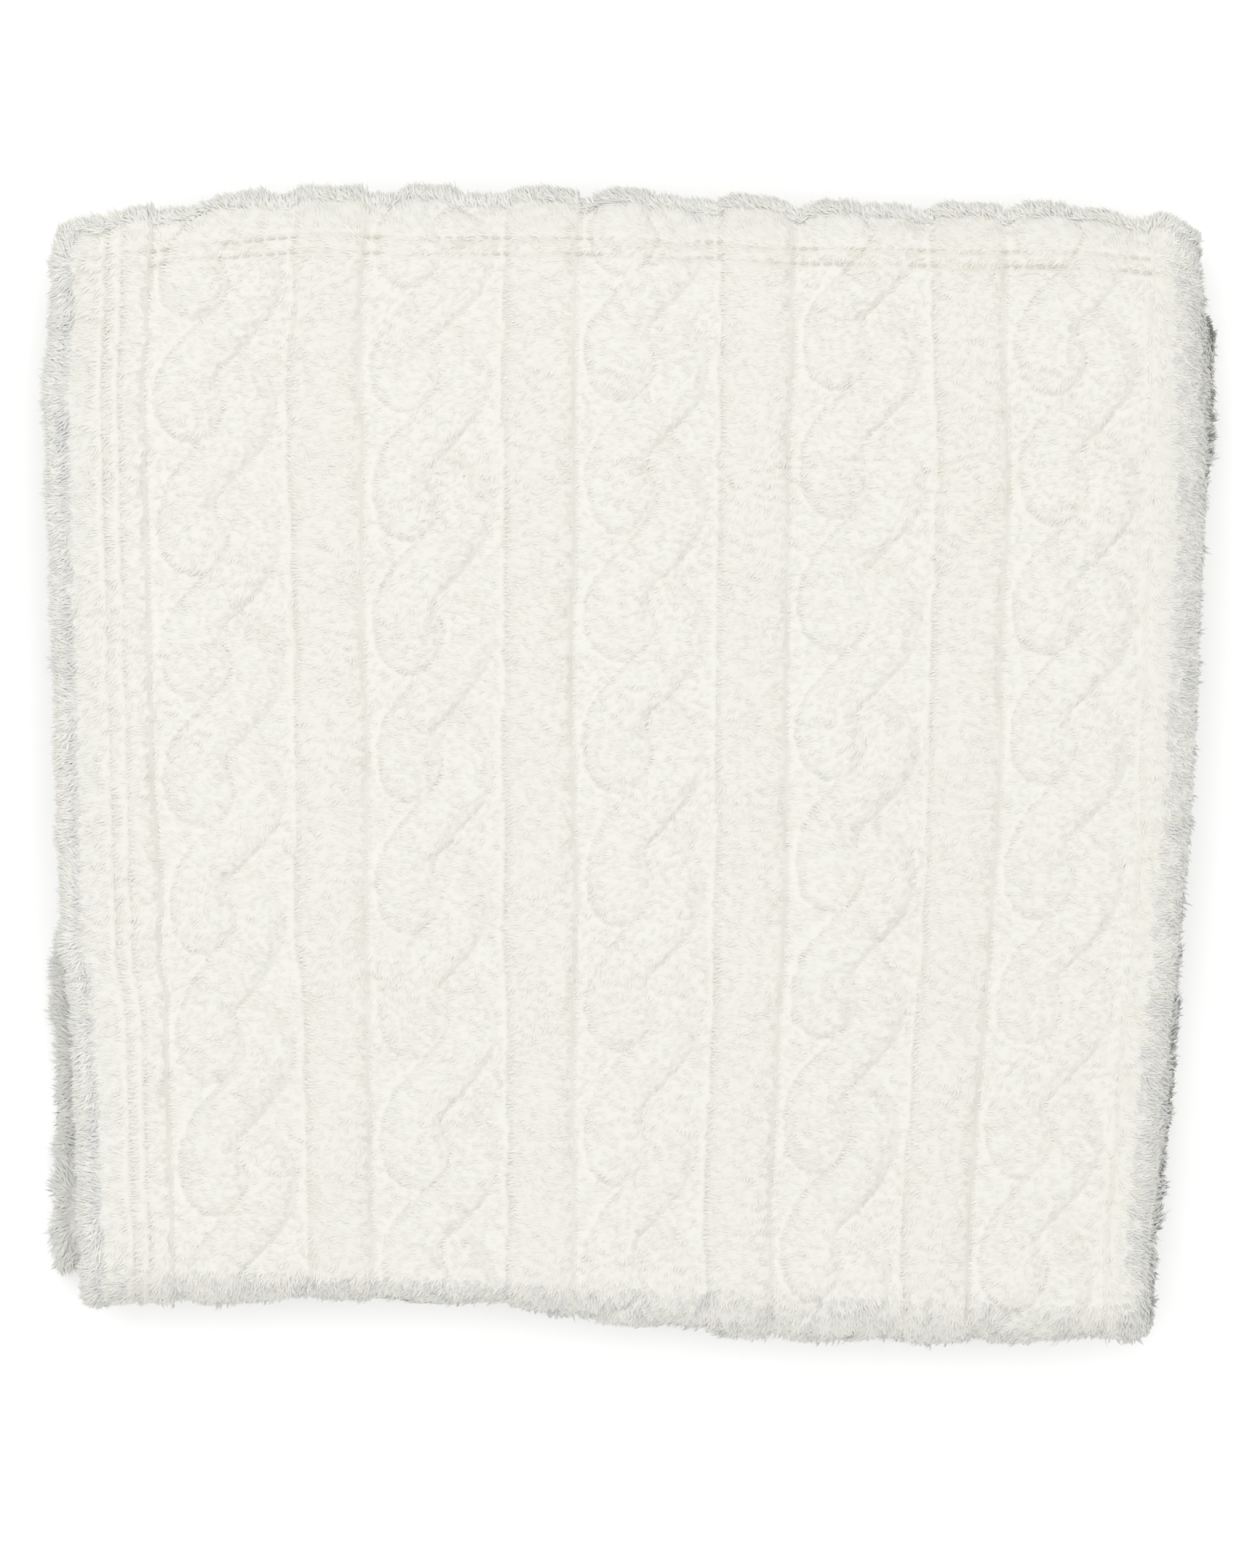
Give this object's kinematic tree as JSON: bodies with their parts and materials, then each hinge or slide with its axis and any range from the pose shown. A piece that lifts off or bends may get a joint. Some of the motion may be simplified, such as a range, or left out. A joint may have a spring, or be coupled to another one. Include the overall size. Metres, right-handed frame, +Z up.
{
  "type": "folded throw blanket",
  "caption": "Plush throw blanket with carved cable columns, hemmed all round, folded in half and then in three so that it lies flat; both cross folds open.",
  "frame": {"origin": "on the floor, in the middle of the folded throw's footprint", "axes": "+Z up; +X towards the side fold, which is on the right; +Y away from the near fold"},
  "size_m": [0.6542, 0.6495, 0.0716],
  "materials": {
    "plush_face": "soft ivory plush with a short dense pile",
    "smooth_backing": "smooth short-napped ivory backing",
    "turned_hem": "the same plush, turned under and sewn down",
    "hem_thread": "matt ivory sewing thread"
  },
  "bodies": {
    "bottom_panel": {"bottom_panel_backing": "smooth_backing", "bottom_panel_end_hem": "turned_hem", "bottom_panel_end_stitching": "hem_thread", "bottom_panel_face": "plush_face", "bottom_panel_lower_side_hem": "turned_hem", "bottom_panel_lower_side_stitching": "hem_thread", "bottom_panel_upper_side_hem": "turned_hem", "bottom_panel_upper_side_stitching": "hem_thread", "far_fold_backing": "smooth_backing", "far_fold_face": "plush_face", "far_fold_inner_side_hem": "turned_hem", "far_fold_inner_side_stitching": "hem_thread", "far_fold_outer_side_hem": "turned_hem", "far_fold_outer_side_stitching": "hem_thread"},
    "middle_panel": {"middle_panel_backing": "smooth_backing", "middle_panel_face": "plush_face", "middle_panel_lower_side_hem": "turned_hem", "middle_panel_lower_side_stitching": "hem_thread", "middle_panel_upper_side_hem": "turned_hem", "middle_panel_upper_side_stitching": "hem_thread", "near_fold_backing": "smooth_backing", "near_fold_face": "plush_face", "near_fold_inner_side_hem": "turned_hem", "near_fold_inner_side_stitching": "hem_thread", "near_fold_outer_side_hem": "turned_hem", "near_fold_outer_side_stitching": "hem_thread"},
    "top_panel": {"top_panel_backing": "smooth_backing", "top_panel_end_hem": "turned_hem", "top_panel_end_stitching": "hem_thread", "top_panel_face": "plush_face", "top_panel_lower_side_hem": "turned_hem", "top_panel_lower_side_stitching": "hem_thread", "top_panel_upper_side_hem": "turned_hem", "top_panel_upper_side_stitching": "hem_thread"}
  },
  "joints": [
    {"name": "far_fold_opens", "type": "hinge", "parent": "bottom_panel", "child": "middle_panel", "pos_m": [0.01478, 0.25476, 0.0238], "axis": [-0.9974, 0.0722, 0], "range_deg": [0, 180], "deforming": ["far_fold_backing", "far_fold_face", "far_fold_inner_side_hem", "far_fold_inner_side_stitching", "far_fold_outer_side_hem", "far_fold_outer_side_stitching"]},
    {"name": "near_fold_opens", "type": "hinge", "parent": "middle_panel", "child": "top_panel", "pos_m": [-0.00609, -0.28972, 0.0478], "axis": [0.9993, -0.0382, 0], "range_deg": [0, 180], "deforming": ["near_fold_backing", "near_fold_face", "near_fold_inner_side_hem", "near_fold_inner_side_stitching", "near_fold_outer_side_hem", "near_fold_outer_side_stitching"]}
  ]
}
